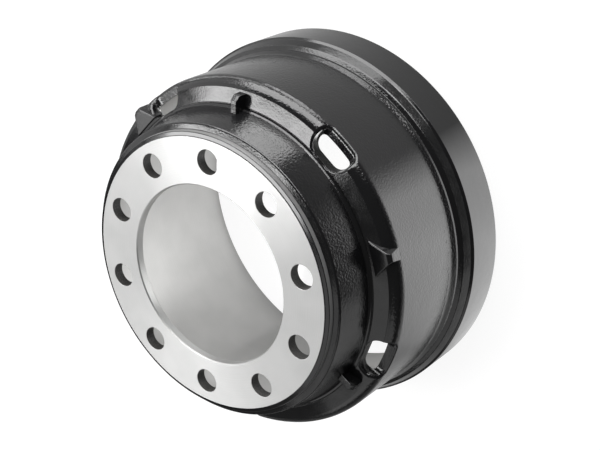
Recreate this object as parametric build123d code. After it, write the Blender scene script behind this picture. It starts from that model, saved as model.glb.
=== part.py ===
from build123d import *
from math import cos, radians, sin, sqrt, tan
import os

# Outboard-mounted brake drum of a heavy truck: one iron casting, turned and drilled.
# Millimetres. +Z is the drum's axis, z = 0 is the open end that it stands on, and the
# wheel mounting face looks up. Angles are in degrees about +Z, from +X.

os.makedirs("parts", exist_ok=True)

# Turned and drilled sizes
overall_depth = 265.5       # open end to mounting face
brake_dia = 419.1           # surface that the shoes run on
brake_mouth = 1.5           # chamfer where the shoes go in
pilot_dia = 223.0           # bore that centres the drum on the hub
pilot_chamfer = 2.4
pilot_back_chamfer = 3.3
flange_thickness = 13.3
bolt_circle_dia = 285.75
stud_count = 10
stud_hole_dia = 30.0
face_margin = 10.85         # turned face outside the stud holes
face_step = 1.0             # the turned face stands this far proud of the casting

# Cast wall
widest_share = 0.35         # most of the shoulder that its neck fillet or its corner takes
barrel_wall = 12.85
relief_depth = 1.2          # groove where the turned brake surface runs out
relief_length = 6.3         # end of that surface to the inside of the shoulder
neck_wall = 13.0
neck_rise = 12.4            # neck radius over the turned face's radius
neck_draft = 8.2            # growth of the neck's radius towards the shoulder
lip_bulge_run = 5.5         # swelling of the lip outside the turned face
lip_bulge_drop = 3.5
lip_depth = 12.6            # front of the casting to the neck
shoulder_wall = 12.8
shoulder_depth = 57.9       # mounting face to the inner edge of the cast band
band_slope = 15.5           # the band leans back this much
band_raise = 0.6            # the band stands this far over the fillet inside it
neck_reach = 5.0            # neck's foot to the band's inner edge
neck_fillet = 5.0           # cove at the neck's foot
cove_flats = 4
corner_run = 10.7           # band's outer edge to the barrel's radius
corner_slope = 38.0         # lean of the shoulder outside the band
corner_radius = 18.0        # round between the shoulder and the barrel
inner_corner_chamfer = 5.0
inner_neck_chamfer = 5.0

# Squealer band at the open end
squealer_dia = 477.4
squealer_width = 60.5
squealer_chamfer = 8.0
squealer_slope = 50.5       # lean of the band's front face
squealer_bead = 2.8         # foot of that face over the barrel
barrel_foot = 6.8           # length of the rise from the barrel to that foot
barrel_fillet = 34.0

# Inspection slots through the shoulder
slot_count = 5
end_share = 0.45            # most of a slot's width that one corner round takes
corner_share = 0.58         # and most of its side, for a corner and for a flare
flare_share = 0.29
slot_width = 51.0
slot_corner = 15.0
slot_edge = 0.5             # strip of the band left inside a slot
slot_flare = 7.5            # round where a slot's sides run out of the barrel
slot_overrun = 15.0         # cut carried outside the barrel
slot_depth = 77.5           # mounting face to the slot's rear wall

# Chucking lugs
lug_count = 3
lug_front_depth = 57.5
lug_inner_width = 42.0
lug_outer_width = 13.0
lug_inset = 3.2             # the lug's inner edge outside the band's inner edge
lug_set_back = 4.0          # front edge of the lug inside the barrel's surface
lug_nose = 4.0              # length of the steeper part behind that edge
lug_nose_rise = 1.5
lug_sink = 0.5              # heel of the lug under the barrel's surface
lug_draft = 9.0

# Driving bosses
boss_count = 3
boss_width = 9.4
boss_front_depth = 44.3
boss_top_inset = 2.7        # top of the boss inside the band's outer edge
boss_chamfer = 5.5
chamfer_share = 0.4         # most of the boss's front that the chamfer takes
boss_draft = 3.0
boss_foot = 0.8             # underside of the boss over the neck

# What follows from them
face_z = overall_depth
brake_r = brake_dia / 2
barrel_r = brake_r + barrel_wall
pilot_r = pilot_dia / 2
bolt_circle_r = bolt_circle_dia / 2
face_r = bolt_circle_r + stud_hole_dia / 2 + face_margin
neck_r = face_r + neck_rise
shoulder_r = neck_r + neck_draft
squealer_r = squealer_dia / 2
shoulder_width = barrel_r - shoulder_r
band_in_r = shoulder_r + min(neck_reach, widest_share * shoulder_width)
band_out_r = barrel_r - min(corner_run, widest_share * shoulder_width)
band_in_z = face_z - shoulder_depth
band_fall = tan(radians(band_slope))
wall_fall = shoulder_wall / cos(radians(band_slope))
stud_pitch = 360 / stud_count


def band_z(radius):
    # height of the cast band's slope at a radius
    return band_in_z - (radius - band_in_r) * band_fall


def under_band_z(radius):
    # height of the shoulder's inside under the band
    return band_z(radius) - wall_fall


shared_side = 0.48          # most of a side that a fillet may use where the next corner has one
whole_side = 0.96


def rounded_section(corners):
    # closed outline from (radius, height, fillet), each fillet held to the sides it joins
    edges = []
    starts = []
    ends = []
    count = len(corners)
    for i, (r, z, fillet_r) in enumerate(corners):
        before = corners[i - 1]
        after = corners[(i + 1) % count]
        back = Vector(before[0] - r, before[1] - z)
        ahead = Vector(after[0] - r, after[1] - z)
        half = radians(back.get_angle(ahead)) / 2
        back_share = shared_side if before[2] else whole_side
        ahead_share = shared_side if after[2] else whole_side
        reach = min(fillet_r / tan(half), back_share * back.length, ahead_share * ahead.length)
        here = Vector(r, z)
        first = here + back.normalized() * reach
        last = here + ahead.normalized() * reach
        starts.append(first)
        ends.append(last)
        if reach > 0.01:
            bisector = (back.normalized() + ahead.normalized()).normalized()
            radius = reach * tan(half)
            middle = here + bisector * (radius / sin(half) - radius)
            edges.append(ThreePointArc(first, middle, last))
    for i in range(count):
        edges.append(Line(ends[i - 1], starts[i]))
    return make_face(edges)


def revolved(corners):
    # the section turned about the drum's axis
    section = Plane.XZ * rounded_section(corners)
    return revolve(section, Axis.Z)


def around(shape, count, start):
    # copies of a shape, evenly spaced from an angle
    return [Rot(0, 0, start + k * 360 / count) * shape for k in range(count)]


# The casting's section, outside from the pilot to the open end, then back along the inside
lip_z = face_z - face_step
neck_z = lip_z - lip_depth
corner_z = band_z(band_out_r) - corner_run * tan(radians(corner_slope))
bead_r = barrel_r + squealer_bead
bead_z = squealer_width + (squealer_r - bead_r) * tan(radians(squealer_slope))
foot_z = bead_z + barrel_foot
relief_r = brake_r + relief_depth
relief_in_r = relief_r - inner_corner_chamfer
brake_end_z = under_band_z(relief_r) - relief_length
inner_neck_r = shoulder_r - neck_wall
flange_back_z = face_z - flange_thickness

# The cove leaves the neck upright and meets the band's slope, a little under the band
cove_r = min(neck_fillet, band_in_r - shoulder_r)
cove_middle_r = shoulder_r + cove_r
cove_middle_z = band_z(cove_middle_r) - band_raise + cove_r / cos(radians(band_slope))
cove_turn = radians(90 - band_slope) / cove_flats
neck_cove = [
    (cove_middle_r - cove_r * cos(k * cove_turn), cove_middle_z - cove_r * sin(k * cove_turn), 0)
    for k in range(cove_flats + 1)
]

outside = [
    (pilot_r + pilot_chamfer, face_z, 0),
    (face_r, face_z, 0),
    (face_r, lip_z, 0),
    (face_r + lip_bulge_run, lip_z - lip_bulge_drop, 0),
    (neck_r, neck_z, 0),
    *neck_cove,
    (band_in_r - band_raise, band_in_z - band_raise, 0),
    (band_in_r, band_in_z, 0),
    (band_out_r, band_z(band_out_r), 0),
    (barrel_r, corner_z, corner_radius),
    (barrel_r, foot_z, barrel_fillet),
    (bead_r, bead_z, 0),
    (squealer_r, squealer_width, 0),
    (squealer_r, squealer_chamfer, 0),
    (squealer_r - squealer_chamfer, 0, 0),
]
inside = [
    (brake_r + brake_mouth, 0, 0),
    (brake_r, brake_mouth, 0),
    (brake_r, brake_end_z, 0),
    (relief_r, brake_end_z + relief_depth, 0),
    (relief_in_r, under_band_z(relief_in_r), 0),
    (inner_neck_r, under_band_z(inner_neck_r), 0),
    (inner_neck_r - neck_draft, flange_back_z - inner_neck_chamfer, 0),
    (inner_neck_r - neck_draft - inner_neck_chamfer, flange_back_z, 0),
    (pilot_r + pilot_back_chamfer, flange_back_z, 0),
    (pilot_r, flange_back_z + pilot_back_chamfer, 0),
    (pilot_r, face_z - pilot_chamfer, 0),
]
drum = revolved(outside + inside)


# Pads cast on the shoulder reach down to the middle of its wall
def cast_pad(plan, front_z, base_z, draft, section):
    # a plan drawn at the pad's front, widened by its draft and trimmed to a turned section
    front = Plane(origin=(0, 0, front_z), x_dir=(1, 0, 0), z_dir=(0, 0, -1))
    bar = extrude(front * plan, front_z - base_z, taper=-draft)
    return bar & revolved(section)


def mid_wall_z(radius):
    return band_z(radius) - wall_fall / 2


mid_barrel_r = (relief_r + barrel_r) / 2

# Lugs for the chuck's jaws, carried forward from the barrel's end to a flat front
lug_in_r = band_in_r + lug_inset
lug_front_z = face_z - lug_front_depth
lug_heel_z = corner_z - corner_radius / 4
lug_base_z = corner_z - corner_radius
lug_plan = Polygon(
    (lug_in_r, -lug_inner_width / 2),
    (barrel_r, -lug_outer_width / 2),
    (barrel_r + corner_run, -lug_outer_width / 2),
    (barrel_r + corner_run, lug_outer_width / 2),
    (barrel_r, lug_outer_width / 2),
    (lug_in_r, lug_inner_width / 2),
    align=None,
)
lug_section = [
    (shoulder_r, lug_front_z, 0),
    (barrel_r - lug_set_back, lug_front_z, 0),
    (barrel_r - lug_set_back + lug_nose_rise, lug_front_z - lug_nose, 0),
    (barrel_r - lug_sink, lug_heel_z, 0),
    (barrel_r - lug_sink, lug_base_z, 0),
    (mid_barrel_r, lug_base_z, 0),
    (mid_barrel_r, mid_wall_z(mid_barrel_r), 0),
    (shoulder_r, mid_wall_z(shoulder_r), 0),
]
lug = cast_pad(lug_plan, lug_front_z, lug_base_z, lug_draft, lug_section)

# Bosses that the drum is driven by while it is turned
boss_top_r = band_out_r - boss_top_inset
boss_foot_r = shoulder_r + boss_foot
boss_corner = min(boss_chamfer, chamfer_share * (boss_top_r - boss_foot_r))
boss_front_z = face_z - boss_front_depth
boss_base_z = mid_wall_z(boss_top_r)
boss_root_r = shoulder_r - neck_wall / 3
boss_plan = Pos((boss_root_r + boss_top_r) / 2, 0) * Rectangle(boss_top_r - boss_root_r, boss_width)
boss_section = [
    (boss_foot_r, boss_front_z, 0),
    (boss_top_r - boss_corner, boss_front_z, 0),
    (boss_top_r, boss_front_z - boss_corner, 0),
    (boss_top_r, boss_base_z, 0),
    (boss_root_r, mid_wall_z(boss_root_r), 0),
    (boss_root_r, boss_front_z - boss_foot, 0),
]
boss = cast_pad(boss_plan, boss_front_z, boss_base_z, boss_draft, boss_section)

# Slots: cut along the axis from the front as far as a rear wall square to it
slot_in_r = band_in_r + slot_edge
slot_out_r = barrel_r + slot_overrun
slot_rear_z = face_z - slot_depth
slot_side = sqrt(barrel_r**2 - slot_width**2 / 4) - slot_in_r
slot_round = min(slot_corner, end_share * slot_width, corner_share * slot_side)
mouth_round = min(slot_flare, flare_share * slot_side)
slot_middle = Pos((slot_in_r + slot_out_r) / 2, 0)
slot_channel = slot_middle * Rectangle(slot_out_r - slot_in_r, slot_width)
slot_outside = slot_middle * Rectangle(slot_out_r - slot_in_r, slot_width + 4 * slot_flare)
slot_plan = slot_channel + (slot_outside - Circle(barrel_r))
inner_corners = slot_plan.vertices().sort_by(Axis.X)[:2]
slot_plan = fillet(inner_corners, slot_round)
mouth_corners = slot_plan.vertices().filter_by(lambda v: abs(abs(v.Y) - slot_width / 2) < 0.01)
slot_plan = fillet(mouth_corners.sort_by(Axis.X)[-2:], mouth_round)
slot = extrude(Pos(0, 0, slot_rear_z) * slot_plan, face_z - slot_rear_z)

# Stud holes
stud_hole = Pos(bolt_circle_r, 0, face_z - flange_thickness / 2) * Cylinder(
    stud_hole_dia / 2, 2 * flange_thickness
)

# The first slot lies on the stud hole after the first lug, and a boss two holes on
slot_start = stud_pitch
boss_start = 2 * stud_pitch
drum = drum.fuse(*around(lug, lug_count, 0), *around(boss, boss_count, boss_start))
drum = drum.cut(*around(slot, slot_count, slot_start), *around(stud_hole, stud_count, 0))

export_step(drum, "parts/brake_drum.step")
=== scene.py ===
from math import ceil, cos, pi, radians, sin, sqrt, tan

import bmesh
import bpy
from mathutils import Matrix, Vector


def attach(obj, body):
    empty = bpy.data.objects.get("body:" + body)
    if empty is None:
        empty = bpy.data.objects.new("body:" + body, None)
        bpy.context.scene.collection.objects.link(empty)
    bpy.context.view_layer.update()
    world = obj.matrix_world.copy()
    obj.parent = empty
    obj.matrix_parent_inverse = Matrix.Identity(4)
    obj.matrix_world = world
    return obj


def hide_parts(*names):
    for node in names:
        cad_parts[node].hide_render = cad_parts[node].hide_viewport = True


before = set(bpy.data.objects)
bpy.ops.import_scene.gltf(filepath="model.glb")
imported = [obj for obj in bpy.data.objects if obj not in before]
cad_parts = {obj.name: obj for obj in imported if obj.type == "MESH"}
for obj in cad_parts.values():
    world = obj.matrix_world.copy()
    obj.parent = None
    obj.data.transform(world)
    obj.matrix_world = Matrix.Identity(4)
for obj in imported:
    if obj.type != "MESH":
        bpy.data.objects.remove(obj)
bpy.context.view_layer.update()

mm = 0.001  # the drum's sizes are in millimetres; lamps, floor and camera are in metres


def selectOnly(piece):
    bpy.ops.object.select_all(action="DESELECT")
    piece.select_set(True)
    bpy.context.view_layer.objects.active = piece


def cutWith(piece, tool):
    # the tool's shape is taken out of the piece, and the tool is thrown away
    selectOnly(piece)
    cut = piece.modifiers.new("cut", "BOOLEAN")
    cut.operation = "DIFFERENCE"
    cut.solver = "MANIFOLD"
    cut.object = tool
    bpy.ops.object.modifier_apply(modifier=cut.name)
    bpy.data.meshes.remove(tool.data)


def joinTo(piece, others):
    selectOnly(piece)
    for other in others:
        other.select_set(True)
    bpy.ops.object.join()


def spunCopies(piece, count, start):
    # copies round the axis, each with its own mesh; the first one is the piece itself
    copies = [piece]
    for k in range(1, count):
        copy = piece.copy()
        copy.data = piece.data.copy()
        bpy.context.collection.objects.link(copy)
        copies.append(copy)
    for k, copy in enumerate(copies):
        copy.data.transform(Matrix.Rotation(radians(start + k * 360 / count), 4, "Z"))
    return copies


# Drum body: the casting's section turned about the axis, with its open end on the floor

drum = dict(
    columns=360,
    degreesPerStep=11,
    faceZ=265.5,
    faceR=168.73,
    pilotR=111.5,
    pilotChamfer=1.4,
    flangeBackZ=252.2,
    backChamfer=3.3,
    lipStep=1.2,
    neckTop=(182.0, 254.8),
    neckFoot=(190.1, 207.9),
    barrelR=222.4,
    barrelTopZ=195.1,
    barrelFootZ=87.4,
    squealerR=238.7,
    squealerTopZ=60.4,
    squealerFootZ=8.0,
    brakeR=209.55,
    brakeTopZ=183.46,
    mouthChamfer=1.5,
    reliefR=210.75,
    reliefStep=1.2,
    reliefTopZ=189.8,
)


def drumSection():
    # corners of the section: radius, height, round; from the pilot outwards and back along the inside
    d = drum
    return [
        (d["pilotR"] + d["pilotChamfer"], d["faceZ"], 0.3),
        (d["faceR"], d["faceZ"], 0.3),
        (d["faceR"], d["faceZ"] - d["lipStep"], 0.2),
        (169.5, d["faceZ"] - d["lipStep"], 0.3),
        (173.9, 263.3, 1.0),  # matt band round the lip
        (174.9, 257.2, 1.0),
        (*d["neckTop"], 3.0),
        (*d["neckFoot"], 9.5),
        (193.6, 206.9, 0.6),  # low step at the start of the cast band
        (194.5, 207.6, 0.7),
        (211.7, 202.78, 1.6),
        (d["barrelR"], d["barrelTopZ"], 18.0),
        (d["barrelR"], d["barrelFootZ"], 13.0),
        (226.0, 79.8, 1.8),  # bead, and the cone down to the squealer band
        (226.5, 77.2, 1.0),
        (231.2, 73.5, 4.0),
        (236.1, 62.8, 4.0),
        (d["squealerR"], d["squealerTopZ"], 0.9),
        (d["squealerR"], d["squealerFootZ"], 0.4),
        (230.7, 0.0, 0.8),
        (d["brakeR"] + d["mouthChamfer"], 0.0, 0.3),
        (d["brakeR"], d["mouthChamfer"], 0.3),
        (d["brakeR"], d["brakeTopZ"], 0.3),
        (d["reliefR"], d["brakeTopZ"] + d["reliefStep"], 0.3),
        (d["reliefR"], d["reliefTopZ"], 5.0),
        (176.6, 200.6, 10.0),  # inside of the shoulder and of the neck
        (168.1, d["flangeBackZ"], 5.5),
        (d["pilotR"] + d["backChamfer"], d["flangeBackZ"], 0.3),
        (d["pilotR"], d["flangeBackZ"] + d["backChamfer"], 0.3),
        (d["pilotR"], d["faceZ"] - d["pilotChamfer"], 0.3),
    ]


def roundedOutline(corners, turnPerStep):
    # points of the closed outline, with every corner rounded by an arc
    count = len(corners)
    spots = [Vector(corner[:2]) for corner in corners]
    halves = []
    wanted = []
    for i in range(count):
        half = (spots[i - 1] - spots[i]).angle(spots[(i + 1) % count] - spots[i]) / 2
        halves.append(half)
        wanted.append(corners[i][2] / tan(half))
    shares = []
    for i in range(count):
        # two arcs on one short side share its length
        length = (spots[(i + 1) % count] - spots[i]).length
        shares.append(min(1, 0.98 * length / (wanted[i] + wanted[(i + 1) % count])))
    points = []
    for i, corner in enumerate(spots):
        before = (spots[i - 1] - corner).normalized()
        after = (spots[(i + 1) % count] - corner).normalized()
        reach = wanted[i] * min(shares[i - 1], shares[i])
        centre = corner + (before + after).normalized() * (reach / cos(halves[i]))
        turn = pi - 2 * halves[i]
        steps = max(2, ceil(turn / turnPerStep))
        first = corner + before * reach - centre
        last = corner + after * reach - centre
        for k in range(steps + 1):
            t = k / steps
            arm = (sin((1 - t) * turn) * first + sin(t * turn) * last) / sin(turn)
            points.append((centre.x + arm.x, centre.y + arm.y))
    return points


def turned(name, outline, columns):
    # a ring drawn out along the outline and closed on itself
    r, z = outline[0]
    bpy.ops.object.select_all(action="DESELECT")
    bpy.ops.mesh.primitive_circle_add(vertices=columns, radius=r * mm, location=(0, 0, z * mm))
    piece = bpy.context.object
    piece.name = name
    piece.data.name = name
    bpy.ops.object.transform_apply(location=True, rotation=True, scale=True)
    bpy.ops.object.mode_set(mode="EDIT")
    bpy.ops.mesh.select_all(action="SELECT")
    for nextR, nextZ in outline[1:]:
        bpy.ops.mesh.extrude_region()
        bpy.ops.transform.resize(value=(nextR / r, nextR / r, 1), center_override=(0, 0, 0))
        bpy.ops.transform.translate(value=(0, 0, (nextZ - z) * mm))
        r, z = nextR, nextZ
    bpy.ops.mesh.select_all(action="DESELECT")
    bpy.ops.mesh.select_mode(type="EDGE")
    bpy.ops.mesh.select_non_manifold(extend=False, use_boundary=True)
    bpy.ops.mesh.bridge_edge_loops()
    bpy.ops.mesh.select_all(action="SELECT")
    bpy.ops.mesh.normals_make_consistent(inside=False)
    bpy.ops.object.mode_set(mode="OBJECT")
    return piece


outline = roundedOutline(drumSection(), radians(drum["degreesPerStep"]))
body = turned("drumCasting", outline, drum["columns"])
print("drum body turned")


def lofted(name, rows, joined=False):
    # a closed skin over rows of points; each row is a closed loop, all with the same count,
    # and the end rows are capped, or joined to each other
    mesh = bmesh.new()
    rings = [[mesh.verts.new([c * mm for c in point]) for point in row] for row in rows]
    count = len(rings[0])
    if joined:
        rings.append(rings[0])
    for low, high in zip(rings, rings[1:]):
        for k in range(count):
            n = (k + 1) % count
            mesh.faces.new((low[k], low[n], high[n], high[k]))
    for ring in () if joined else (rings[0], rings[-1]):
        centre = mesh.verts.new(sum((v.co for v in ring), Vector()) / count)
        for k in range(count):
            mesh.faces.new((ring[k], ring[(k + 1) % count], centre))
    bmesh.ops.remove_doubles(mesh, verts=mesh.verts, dist=0.01 * mm)
    bmesh.ops.dissolve_degenerate(mesh, edges=mesh.edges, dist=0.001 * mm)
    bmesh.ops.recalc_face_normals(mesh, faces=mesh.faces)
    data = bpy.data.meshes.new(name)
    mesh.to_mesh(data)
    mesh.free()
    piece = bpy.data.objects.new(name, data)
    bpy.context.collection.objects.link(piece)
    return piece


# Inspection slots: cut straight down through the cast band and the rounded corner

slot = dict(
    count=5,
    start=36,
    width=51.0,
    innerR=194.2,
    corner=14.5,
    sideR=216.0,
    rearZ=188.13,
    rearCorner=8.0,
    topZ=232.0,
    rim=2.3,
    mouthRim=4.5,
    rimGrows=(203.0, 215.0),
    past=16.0,
    cut=0.8,
)
shoulderTop = Vector((188, 217))  # the shoulder's skin is read from here
shoulderEndZ = 150
cornerStartZ = 202  # below this the skin is found by its height


def shoulderSkin():
    # the casting's outside from the neck's foot over the shoulder to the barrel
    away = [abs(r - shoulderTop.x) + abs(z - shoulderTop.y) for r, z in outline]
    skin = []
    for r, z in outline[away.index(min(away)):]:
        if z < shoulderEndZ:
            break
        skin.append(Vector((r, z)))
    skin.append(Vector((drum["barrelR"], shoulderEndZ)))
    return skin


skin = shoulderSkin()


def skinAt(r=None, z=None):
    # point and outward slope of the outside, at a radius or, lower on the shoulder, at a height
    for first, last in zip(skin, skin[1:]):
        if r is not None and first.x <= r <= last.x and last.x > first.x:
            t = (r - first.x) / (last.x - first.x)
        elif z is not None and last.y <= z <= first.y and z < cornerStartZ and first.y > last.y:
            t = (first.y - z) / (first.y - last.y)
        else:
            continue
        along = (last - first).normalized()
        return first + (last - first) * t, Vector((-along.y, along.x))
    return skin[-1], Vector((1, 0))


def slotTool():
    # a straight cutter; its floor turns up into the sides
    w = slot["width"] / 2
    c = slot["corner"]
    innerR = slot["innerR"]
    far = drum["barrelR"] + slot["past"]
    half = [(innerR, (w - c) * k / 4) for k in range(4)]
    for k in range(13):
        a = pi - k * pi / 24
        half.append((innerR + c + c * cos(a), w - c + c * sin(a)))
    half += [(slot["sideR"], w), (far, w), (far, w / 2)]
    loop = [(u, -v) for u, v in reversed(half[1:])] + half + [(far, 0)]
    rows = []
    e = slot["rearCorner"]
    for k in range(7):
        t = k * pi / 12
        share = (w - e * (1 - sin(t))) / w
        rows.append([(u, v * share, slot["rearZ"] + e * (1 - cos(t))) for u, v in loop])
    rows.append([(u, v, slot["topZ"]) for u, v in loop])
    return lofted("slotTool", rows)


def slotSide():
    # half of the slot's mouth on the skin, from the middle of the neck side round to the rear wall:
    # radius, height, distance from the slot's middle, outward slope
    w = slot["width"] / 2
    c = slot["corner"]
    e = slot["rearCorner"]
    rear = slot["rearZ"]
    start = [(slot["innerR"], (w - c) * k / 5) for k in range(5)]
    for k in range(15):
        a = pi - k * pi / 28
        start.append((slot["innerR"] + c + c * cos(a), w - c + c * sin(a)))
    spots = []
    for u, v in start:
        spot, out = skinAt(r=sqrt(u * u + v * v))
        spots.append((spot.x, spot.y, v, out))
    lastR = spots[-1][0]
    cornerR = skinAt(z=rear + e)[0].x
    for k in range(1, 9):
        spot, out = skinAt(r=lastR + (cornerR - lastR) * k / 8)
        spots.append((spot.x, spot.y, w, out))
    for k in range(1, 11):
        t = k * pi / 20
        spot, out = skinAt(z=rear + e * (1 - sin(t)))
        spots.append((spot.x, spot.y, w - e * (1 - cos(t)), out))
    for k in range(1, 7):
        spot, out = skinAt(z=rear)
        spots.append((spot.x, rear, (w - e) * (1 - k / 6), out))
    return spots


def slotEdge():
    # the edge that the cutter leaves on the skin: place, outward direction, rim radius
    growFrom, growTo = slot["rimGrows"]
    edge = []
    for r, z, v, out in slotSide():
        u = sqrt(r * r - v * v)
        outward = Vector((out.x * u / r, out.x * v / r, out.y))
        grow = max(0, min(1, (r - growFrom) / (growTo - growFrom)))
        rim = slot["rim"] + (slot["mouthRim"] - slot["rim"]) * grow
        edge.append((Vector((u, v, z)), outward, rim))
    mirror = Vector((1, -1, 1))
    return edge + [(spot * mirror, outward * mirror, rim) for spot, outward, rim in reversed(edge[1:-1])]


def rimTool():
    # takes the sharp edge off along the whole mouth of the slot
    edge = slotEdge()
    count = len(edge)
    steps = 6
    spare = slot["cut"]
    rows = []
    for i, (spot, outward, rim) in enumerate(edge):
        along = (edge[(i + 1) % count][0] - edge[i - 1][0]).normalized()
        outward = (outward - along * outward.dot(along)).normalized()
        away = outward.cross(along)
        row = [spot - outward * rim - away * spare]
        for k in range(steps + 1):
            t = k * pi / 2 / steps
            row.append(spot - outward * rim * (1 - sin(t)) + away * rim * (1 - cos(t)))
        row.append(spot + outward * spare + away * (rim + 0.1))
        row.append(spot + outward * spare - away * spare)
        rows.append(row)
    return lofted("rimTool", rows, joined=True)


for slotShape in (slotTool(), rimTool()):
    for tool in spunCopies(slotShape, slot["count"], slot["start"]):
        cutWith(body, tool)
print("slots cut")


# Stud holes: drilled through the flange, with a fine broken edge at both ends

stud = dict(count=10, start=0, circleR=142.875, holeR=15.0, edge=0.35, sides=72, past=3.0)


def studTool():
    top = drum["faceZ"]
    back = drum["flangeBackZ"]
    e = stud["edge"]
    r = stud["holeR"]
    past = stud["past"]
    levels = [(back - past, r + e + past), (back, r + e), (back + e, r),
              (top - e, r), (top, r + e), (top + past, r + e + past)]
    turns = [2 * pi * k / stud["sides"] for k in range(stud["sides"])]
    rows = [[(stud["circleR"] + size * cos(a), size * sin(a), z) for a in turns] for z, size in levels]
    return lofted("studTool", rows)


for tool in spunCopies(studTool(), stud["count"], stud["start"]):
    cutWith(body, tool)
print("stud holes cut")


# Lugs and bosses: rows of round-topped cross-sections along the radius

def castPad(name, rows, rounding, draft, steps=4):
    # rows of radius, half width, top height, root height and lean; the sides widen towards the root
    slope = tan(radians(draft))
    loops = []
    for u, halfWidth, top, root, lean in rows:
        e = min(rounding, halfWidth * 0.8)
        half = [(halfWidth + (top - root) * slope, root), (halfWidth + e * slope, top - e)]
        for k in range(1, steps + 1):
            a = pi / 2 * k / steps
            half.append((halfWidth - e + e * cos(a), top - e + e * sin(a)))
        half.append((0, top))
        full = half + [(-v, z) for v, z in reversed(half[:-1])]
        loops.append([(u - (top - z) * lean, v, z) for v, z in full])
    return lofted(name, loops)


# chucking lugs: wedges that narrow outwards and run into the barrel
lug = dict(
    count=3,
    start=0,
    front=208.0,
    innerR=197.5,
    innerHalf=21.0,
    outerHalf=6.5,
    chamfer=3.4,
    round=1.3,
    draft=9.0,
    rootZ=197.0,
    outerRootZ=187.0,
    outerRootR=210.0,
)


def lugHalf(u):
    fromR = lug["innerR"]
    toR = drum["barrelR"] - 3.5
    return lug["innerHalf"] + (lug["outerHalf"] - lug["innerHalf"]) * (u - fromR) / (toR - fromR)


def lugRows():
    outR = drum["barrelR"]
    fromR = lug["innerR"]
    front = lug["front"]
    e = lug["round"]
    c = lug["chamfer"]
    outer = lug["outerRootZ"]
    rows = []
    for k in range(5):
        a = pi / 2 * k / 4
        rows.append((fromR + e * (1 - cos(a)), lugHalf(fromR), front - e + e * sin(a), lug["rootZ"], 0))
    for k in range(1, 7):
        u = fromR + e + (outR - c - 0.8 - fromR - e) * k / 6
        # the root stays inside the casting's wall
        root = lug["rootZ"] if u < lug["outerRootR"] else outer
        rows.append((u, lugHalf(u), front, root, 0))
    tip = lugHalf(outR - 1)
    rows.append((outR - c + 0.2, lugHalf(outR - c), front - 0.35, outer, 0))
    rows.append((outR - 0.6, tip * 0.98, front - c + 0.5, outer, 0.02))
    rows.append((outR + 0.1, tip * 0.97, front - c - 0.5, outer, 0.03))
    rows.append((outR + 0.35, tip * 0.93, front - c - 1.6, outer, 0.035))
    return rows


# driving bosses: short blocks that bridge the neck and the cast band
boss = dict(
    count=3,
    start=72,
    front=221.2,
    halfWidth=4.4,
    footR=189.0,
    topR=209.0,
    chamfer=5.5,
    foot=1.8,
    round=1.4,
    draft=3.0,
    rootZ=198.0,
)


def bossRows():
    front = boss["front"]
    root = boss["rootZ"]
    half = boss["halfWidth"]
    f = boss["foot"]
    c = boss["chamfer"]
    top = boss["topR"]
    rows = []
    for k in range(7):
        a = pi / 2 * k / 6
        spread = f * (1 - sin(a))
        rows.append((boss["footR"] - f * cos(a), half + spread, front - spread, root, 0))
    for u in (boss["footR"] + 3, boss["footR"] + 8, top - c - 0.4):
        rows.append((u, half, front, root, 0))
    rows.append((top - c + 0.7, half, front - 0.35, root, 0))
    rows.append((top - 0.9, half, front - c + 0.9, root, 0))
    rows.append((top - 0.1, half, front - c - 0.4, root, 0))
    rows.append((top + 0.1, half * 0.97, front - c - 1.6, root, 0))
    return rows


lugs = spunCopies(castPad("lug", lugRows(), lug["round"], lug["draft"]), lug["count"], lug["start"])
bosses = spunCopies(castPad("boss", bossRows(), boss["round"], boss["draft"]), boss["count"], boss["start"])
joinTo(body, lugs + bosses)
print("lugs and bosses on")

selectOnly(body)
bpy.ops.object.shade_smooth_by_angle(angle=radians(38))
weight = body.modifiers.new("weight", "WEIGHTED_NORMAL")
weight.keep_sharp = True
bpy.ops.object.modifier_apply(modifier=weight.name)


# Node helpers that the finishes share

def newMaterial(name):
    material = bpy.data.materials.new(name)
    material.use_nodes = True
    tree = material.node_tree
    return material, tree, tree.nodes["Principled BSDF"]


def mathNode(tree, operation, first, second=0.0):
    node = tree.nodes.new("ShaderNodeMath")
    node.operation = operation
    for i, value in enumerate((first, second)):
        if isinstance(value, (int, float)):
            node.inputs[i].default_value = value
        else:
            tree.links.new(value, node.inputs[i])
    return node.outputs[0]


def rangeNode(tree, value, low, high, toLow, toHigh):
    node = tree.nodes.new("ShaderNodeMapRange")
    tree.links.new(value, node.inputs["Value"])
    for key, number in (("From Min", low), ("From Max", high), ("To Min", toLow), ("To Max", toHigh)):
        node.inputs[key].default_value = number
    return node.outputs["Result"]


def plateauNode(tree, value, rise, fall):
    # 1 between the two fades, given in millimetres, and 0 outside them
    up = rangeNode(tree, value, rise[0] * mm, rise[1] * mm, 0, 1)
    down = rangeNode(tree, value, fall[0] * mm, fall[1] * mm, 1, 0)
    return mathNode(tree, "MULTIPLY", up, down)


def noiseNode(tree, vector, size, detail, rough=0.5):
    # noise whose lumps measure about the given size
    node = tree.nodes.new("ShaderNodeTexNoise")
    tree.links.new(vector, node.inputs["Vector"])
    node.inputs["Scale"].default_value = 1 / (size * mm)
    node.inputs["Detail"].default_value = detail
    node.inputs["Roughness"].default_value = rough
    return node.outputs["Fac"]


def axisRadius(tree, vector):
    # distance from the drum's axis, and height, in metres
    parts = tree.nodes.new("ShaderNodeSeparateXYZ")
    tree.links.new(vector, parts.inputs[0])
    x2 = mathNode(tree, "MULTIPLY", parts.outputs["X"], parts.outputs["X"])
    y2 = mathNode(tree, "MULTIPLY", parts.outputs["Y"], parts.outputs["Y"])
    return mathNode(tree, "SQRT", mathNode(tree, "ADD", x2, y2)), parts.outputs["Z"]


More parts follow.
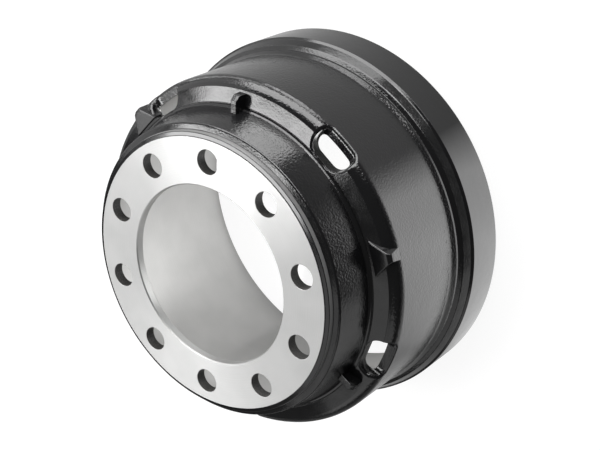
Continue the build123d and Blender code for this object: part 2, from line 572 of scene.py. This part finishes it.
def mixNode(tree, share, low, high):
    node = tree.nodes.new("ShaderNodeMixRGB")
    node.inputs[1].default_value = (*low, 1)
    node.inputs[2].default_value = (*high, 1)
    tree.links.new(share, node.inputs[0])
    return node.outputs[0]


def bumpNode(tree, height, distance):
    node = tree.nodes.new("ShaderNodeBump")
    node.inputs["Strength"].default_value = 1
    node.inputs["Distance"].default_value = distance * mm
    tree.links.new(height, node.inputs["Height"])
    return node.outputs["Normal"]


# Black paint over the pebbled casting; the turned bands under it are smoother

paint = dict(
    colour=(0.004, 0.004, 0.0043),
    rough=0.15,
    pebbleSize=2.4,
    pebbleHeight=0.30,
    broadShare=0.4,
    squealerR=(226.2, 238.2),
    squealerShare=0.08,
    castBandZ=((200.0, 202.0), (208.0, 209.5)),
    castBandShare=0.25,
    smoothLipZ=(253.0, 257.5),
    lipColour=(0.12, 0.12, 0.12),
    lipRough=0.25,
    lipZ=((257.4, 258.2), (262.2, 262.9)),
)


def blackPaint():
    material, tree, shader = newMaterial("blackPaint")
    place = tree.nodes.new("ShaderNodeTexCoord").outputs["Object"]
    radius, height = axisRadius(tree, place)
    cast = rangeNode(tree, radius, *[r * mm for r in paint["squealerR"]], 1, paint["squealerShare"])
    band = plateauNode(tree, height, *paint["castBandZ"])
    cast = mathNode(tree, "MULTIPLY", cast, rangeNode(tree, band, 0, 1, 1, paint["castBandShare"]))
    belowLip = rangeNode(tree, height, *[z * mm for z in paint["smoothLipZ"]], 1, 0)
    cast = mathNode(tree, "MULTIPLY", cast, belowLip)
    pebble = noiseNode(tree, place, paint["pebbleSize"], 1.5, 0.45)
    broad = noiseNode(tree, place, paint["pebbleSize"] * 6, 1, 0.4)
    lumps = mathNode(tree, "ADD", mathNode(tree, "MULTIPLY", pebble, cast),
                     mathNode(tree, "MULTIPLY", broad, paint["broadShare"]))
    tree.links.new(bumpNode(tree, lumps, paint["pebbleHeight"]), shader.inputs["Normal"])
    lip = plateauNode(tree, height, *paint["lipZ"])
    tree.links.new(mixNode(tree, lip, paint["colour"], paint["lipColour"]), shader.inputs["Base Color"])
    gloss = rangeNode(tree, broad, 0.3, 0.7, paint["rough"] * 0.85, paint["rough"] * 1.2)
    dull = mathNode(tree, "MULTIPLY", lip, paint["lipRough"])
    tree.links.new(mathNode(tree, "ADD", gloss, dull), shader.inputs["Roughness"])
    return material


# Bare turned iron: the tool marks run round the axis, spaced by the pitch along the height or the radius

turnedFace = dict(colour=(0.46, 0.46, 0.456), metal=0.40, rough=0.40, pitch=0.7, alongAxis=False)
brakeSurface = dict(colour=(0.50, 0.498, 0.49), metal=0.8, rough=0.42, pitch=0.9, alongAxis=True)
pilotBore = dict(colour=(0.45, 0.45, 0.445), metal=0.8, rough=0.35, pitch=0.5, alongAxis=True)
toolMarks = dict(depth=0.010, shade=0.87, stainSize=40)


def turnedIron(name, look):
    material, tree, shader = newMaterial(name)
    place = tree.nodes.new("ShaderNodeTexCoord").outputs["Object"]
    radius, height = axisRadius(tree, place)
    marks = tree.nodes.new("ShaderNodeTexNoise")
    marks.noise_dimensions = "1D"
    tree.links.new(height if look["alongAxis"] else radius, marks.inputs["W"])
    marks.inputs["Scale"].default_value = 1 / (look["pitch"] * mm)
    marks.inputs["Detail"].default_value = 3
    tree.links.new(bumpNode(tree, marks.outputs["Fac"], toolMarks["depth"]), shader.inputs["Normal"])
    stain = noiseNode(tree, place, toolMarks["stainSize"], 2)
    both = mathNode(tree, "MULTIPLY", mathNode(tree, "ADD", marks.outputs["Fac"], stain), 0.5)
    darker = [c * toolMarks["shade"] for c in look["colour"]]
    shade = mixNode(tree, rangeNode(tree, both, 0.35, 0.65, 0, 1), darker, look["colour"])
    tree.links.new(shade, shader.inputs["Base Color"])
    rough = rangeNode(tree, marks.outputs["Fac"], 0.3, 0.7, look["rough"] * 0.9, look["rough"] * 1.1)
    tree.links.new(rough, shader.inputs["Roughness"])
    shader.inputs["Metallic"].default_value = look["metal"]
    shader.inputs["Anisotropic"].default_value = 0.75
    shader.inputs["Anisotropic Rotation"].default_value = 0.25
    tangent = tree.nodes.new("ShaderNodeTangent")
    tangent.direction_type = "RADIAL"
    tangent.axis = "Z"
    tree.links.new(tangent.outputs[0], shader.inputs["Tangent"])
    return material


# Walls of the stud holes: dark and scaly

drilled = dict(dark=(0.006, 0.0055, 0.005), pale=(0.05, 0.047, 0.044), grain=1.4, depth=0.15, rough=0.6)


def drilledWall():
    material, tree, shader = newMaterial("drilledHole")
    place = tree.nodes.new("ShaderNodeTexCoord").outputs["Object"]
    grain = noiseNode(tree, place, drilled["grain"], 3, 0.7)
    shade = mixNode(tree, rangeNode(tree, grain, 0.38, 0.68, 0, 1), drilled["dark"], drilled["pale"])
    tree.links.new(shade, shader.inputs["Base Color"])
    tree.links.new(bumpNode(tree, grain, drilled["depth"]), shader.inputs["Normal"])
    shader.inputs["Roughness"].default_value = drilled["rough"]
    return material


finishes = dict(
    paint=blackPaint(),
    face=turnedIron("turnedFace", turnedFace),
    brake=turnedIron("brakeSurface", brakeSurface),
    drilled=drilledWall(),
    pilot=turnedIron("pilotBore", pilotBore),
)


def nearestOutline(r, z):
    return min(range(len(outline)), key=lambda i: abs(outline[i][0] - r) + abs(outline[i][1] - z))


# the bare inside of the casting, from the brake surface up to the back of the flange
insideStart = nearestOutline(drum["reliefR"], drum["brakeTopZ"] + drum["reliefStep"])
insideEnd = nearestOutline(drum["pilotR"] + drum["backChamfer"], drum["flangeBackZ"])
insideLine = [Vector(point) for point in outline[insideStart:insideEnd + 1]]


def onInside(r, z):
    spot = Vector((r, z))
    for first, last in zip(insideLine, insideLine[1:]):
        side = last - first
        t = max(0, min(1, (spot - first).dot(side) / side.length_squared))
        if (spot - first - side * t).length < 0.25:
            return True
    return False


def finishAt(face):
    # which finish a face of the casting has, by its place
    c = face.center / mm
    r = sqrt(c.x * c.x + c.y * c.y)
    flange = c.z > drum["flangeBackZ"] - 0.3
    if c.z > drum["faceZ"] - 0.4 and r < drum["faceR"] + 0.17 or c.z < 0.2:
        return "face"
    if flange and r < drum["pilotR"] + drum["backChamfer"] + 0.15:
        return "pilot"
    if flange and abs(r - stud["circleR"]) < stud["holeR"] + 1.9 and abs(face.normal.z) < 0.3:
        return "drilled"
    if r < drum["reliefR"] + 0.25 and c.z < drum["brakeTopZ"] + drum["reliefStep"] + 0.14:
        return "brake"
    if r < drum["reliefR"] + 0.75 and c.z < drum["flangeBackZ"] + 0.4 and onInside(r, c.z):
        return "brake"
    return "paint"


body.data.materials.clear()
for material in finishes.values():
    body.data.materials.append(material)
finishNames = list(finishes)
for face in body.data.polygons:
    face.material_index = finishNames.index(finishAt(face))
print("finishes on")

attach(body, "root")
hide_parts("brake_drum")


# Lamps: softboxes round the drum, and cards on the floor and inside it; camera rays don't see them

aim = Vector((0, 0, 0.15))
lampDistance = 2.6

# azimuth and height in degrees as seen from the drum, angular width and height, brightness
softboxes = dict(
    key=(81, 12, 53, 44, 8.0),
    keyFoot=(47, 9, 22, 25, 7.0),
    rear=(186, 46, 18, 16, 2.5),
    top=(160, 61, 22, 38, 13.0),
    leftFill=(-85, 26, 60, 36, 0.8),
    highFill=(-124, 58, 34, 32, 0.95),
    backFill=(140, 12, 55, 50, 1.1),
)

# azimuth, nearest radius, depth, width in metres, brightness
floorCards = dict(
    lowSide=(-52, 0.48, 0.20, 0.42, 0.7),
    belowKey=(74, 0.475, 0.66, 0.30, 5.2),
    belowBack=(111, 0.67, 0.50, 0.62, 3.0),
)

insideCard = dict(
    place=(-0.075, -0.075, 0.07),
    azimuth=150,
    drop=0.05,
    width=0.16,
    height=0.13,
    brightness=1.5,
)


def areaLight(name, place, facing, width, height, brightness):
    light = bpy.data.lights.new(name, "AREA")
    light.shape = "RECTANGLE"
    light.size = width
    light.size_y = height
    light.energy = brightness * pi * width * height
    lamp = bpy.data.objects.new(name, light)
    bpy.context.collection.objects.link(lamp)
    lamp.location = place
    lamp.rotation_euler = Vector(facing).to_track_quat("-Z", "Y").to_euler()
    lamp.visible_camera = False
    return lamp


for name, (azimuth, height, wide, tall, brightness) in softboxes.items():
    a = radians(azimuth)
    h = radians(height)
    away = Vector((cos(h) * cos(a), cos(h) * sin(a), sin(h)))
    areaLight(name, aim + away * lampDistance, -away, 2 * lampDistance * tan(radians(wide / 2)),
              2 * lampDistance * tan(radians(tall / 2)), brightness)

for name, (azimuth, nearR, depth, width, brightness) in floorCards.items():
    a = radians(azimuth)
    middle = nearR + depth / 2
    card = areaLight(name, (middle * cos(a), middle * sin(a), 0.002), (0, 0, 1), depth, width, brightness)
    card.rotation_euler = (pi, 0, a)

cardTurn = radians(insideCard["azimuth"])
areaLight("insideCard", insideCard["place"], (cos(cardTurn), sin(cardTurn), -insideCard["drop"]),
          insideCard["width"], insideCard["height"], insideCard["brightness"])
print("lamps on")


# Floor: white to the camera, and with a soft painted glow that only reflections see: painted light round
# the drum, and painted shade and a painted pool of light inside it

# the glow below is painted light and shade on the floor, seen only by reflections
floorLook = dict(
    size=40,
    grey=0.15,
    white=0.9,
    glow=0.42,
    glowMiddle=(0.03, 0.10, 0),
    glowReach=0.42,
    brightGlow=2.6,
    brightFrom=(-62, -12),
    brightTo=(11, 26),
    insideGlow=0.95,
    insideShade=0.3,
    insideR=(0.19, 0.21),
    shadeR=(0.11, 0.15),
    shadeFrom=(-170, -142),
    shadeTo=(0, 60),
    patchMiddle=(0.11, -0.04, 0),
    patchGlow=1.7,
    patchR=(0.06, 0.12),
)


def spotRadius(tree, place, middle):
    # distance from a spot on the floor
    shift = tree.nodes.new("ShaderNodeVectorMath")
    shift.operation = "SUBTRACT"
    shift.inputs[1].default_value = middle
    tree.links.new(place, shift.inputs[0])
    return axisRadius(tree, shift.outputs[0])[0]


def turnRange(tree, turn, fromTo, toLow, toHigh):
    return rangeNode(tree, turn, radians(fromTo[0]), radians(fromTo[1]), toLow, toHigh)


def outsideGlow(tree, place, turn):
    # painted light round the drum, brightest on the side of the near softboxes
    rise = turnRange(tree, turn, floorLook["brightFrom"], 0, 1)
    fall = turnRange(tree, turn, floorLook["brightTo"], 1, 0)
    side = mathNode(tree, "MULTIPLY", mathNode(tree, "MULTIPLY", rise, fall), floorLook["brightGlow"])
    reach = floorLook["glowReach"]
    fade = rangeNode(tree, spotRadius(tree, place, floorLook["glowMiddle"]), reach, 1.4 * reach, 1, 0)
    return mathNode(tree, "MULTIPLY", mathNode(tree, "ADD", side, floorLook["glow"]), fade)


def insideGlow(tree, place, turn):
    # painted shade inside the drum, weaker in the middle and on one side, with a painted pool of light
    # where light falls in
    ring = axisRadius(tree, place)[0]
    shade = floorLook["insideShade"]
    glow = rangeNode(tree, ring, *floorLook["insideR"], floorLook["insideGlow"], 0)
    farSide = turnRange(tree, turn, floorLook["shadeFrom"], 1, shade)
    nearSide = turnRange(tree, turn, floorLook["shadeTo"], shade, 1)
    glow = mathNode(tree, "MULTIPLY", glow, mathNode(tree, "MAXIMUM", farSide, nearSide))
    glow = mathNode(tree, "MULTIPLY", glow, rangeNode(tree, ring, *floorLook["shadeR"], shade, 1))
    patch = rangeNode(tree, spotRadius(tree, place, floorLook["patchMiddle"]), *floorLook["patchR"],
                      floorLook["patchGlow"], 0)
    return mathNode(tree, "ADD", glow, patch)


def floorWhite():
    material = bpy.data.materials.new("floorWhite")
    material.use_nodes = True
    tree = material.node_tree
    tree.nodes.clear()
    place = tree.nodes.new("ShaderNodeTexCoord").outputs["Object"]
    flat = tree.nodes.new("ShaderNodeSeparateXYZ")
    tree.links.new(place, flat.inputs[0])
    turn = mathNode(tree, "ARCTAN2", flat.outputs["Y"], flat.outputs["X"])
    glow = mathNode(tree, "ADD", outsideGlow(tree, place, turn), insideGlow(tree, place, turn))
    path = tree.nodes.new("ShaderNodeLightPath")
    direct = mathNode(tree, "MAXIMUM", path.outputs["Is Camera Ray"], path.outputs["Is Transmission Ray"])
    # reflections see the painted light and shade of the glow; camera and transmission rays see plain white
    level = mathNode(tree, "ADD", mathNode(tree, "MULTIPLY", direct, floorLook["white"]),
                     mathNode(tree, "MULTIPLY", path.outputs["Is Glossy Ray"], glow))
    matt = tree.nodes.new("ShaderNodeBsdfDiffuse")
    matt.inputs["Color"].default_value = (floorLook["grey"],) * 3 + (1,)
    shine = tree.nodes.new("ShaderNodeEmission")
    tree.links.new(level, shine.inputs["Strength"])
    both = tree.nodes.new("ShaderNodeAddShader")
    tree.links.new(matt.outputs[0], both.inputs[0])
    tree.links.new(shine.outputs[0], both.inputs[1])
    out = tree.nodes.new("ShaderNodeOutputMaterial")
    tree.links.new(both.outputs[0], out.inputs["Surface"])
    return material


bpy.ops.object.select_all(action="DESELECT")
bpy.ops.mesh.primitive_plane_add(size=floorLook["size"], location=(0, 0, 0))
floor = bpy.context.object
floor.name = "studioFloor"
floor.data.materials.append(floorWhite())

worldGrey = 0.11
world = bpy.data.worlds.new("studio")
bpy.context.scene.world = world
world.use_nodes = True
world.node_tree.nodes["Background"].inputs["Color"].default_value = (worldGrey,) * 3 + (1,)
world.node_tree.nodes["Background"].inputs["Strength"].default_value = 1
print("floor and world on")


# Camera: its matrix's rows, with its place in the last column

view = dict(
    rows=(
        (0.77129, 0.01638, 0.63627, 1.00371),
        (-0.21471, 0.94777, 0.23588, 0.37381),
        (-0.59917, -0.31854, 0.73452, 1.24257),
        (0, 0, 0, 1),
    ),
    lens=74.346,
    sensor=36,
)
camera = bpy.data.objects.new("camera", bpy.data.cameras.new("camera"))
bpy.context.collection.objects.link(camera)
camera.matrix_world = Matrix(view["rows"])
camera.data.lens = view["lens"]
camera.data.sensor_width = view["sensor"]
bpy.context.scene.camera = camera
bpy.context.scene.view_settings.view_transform = "Standard"
print("camera set")
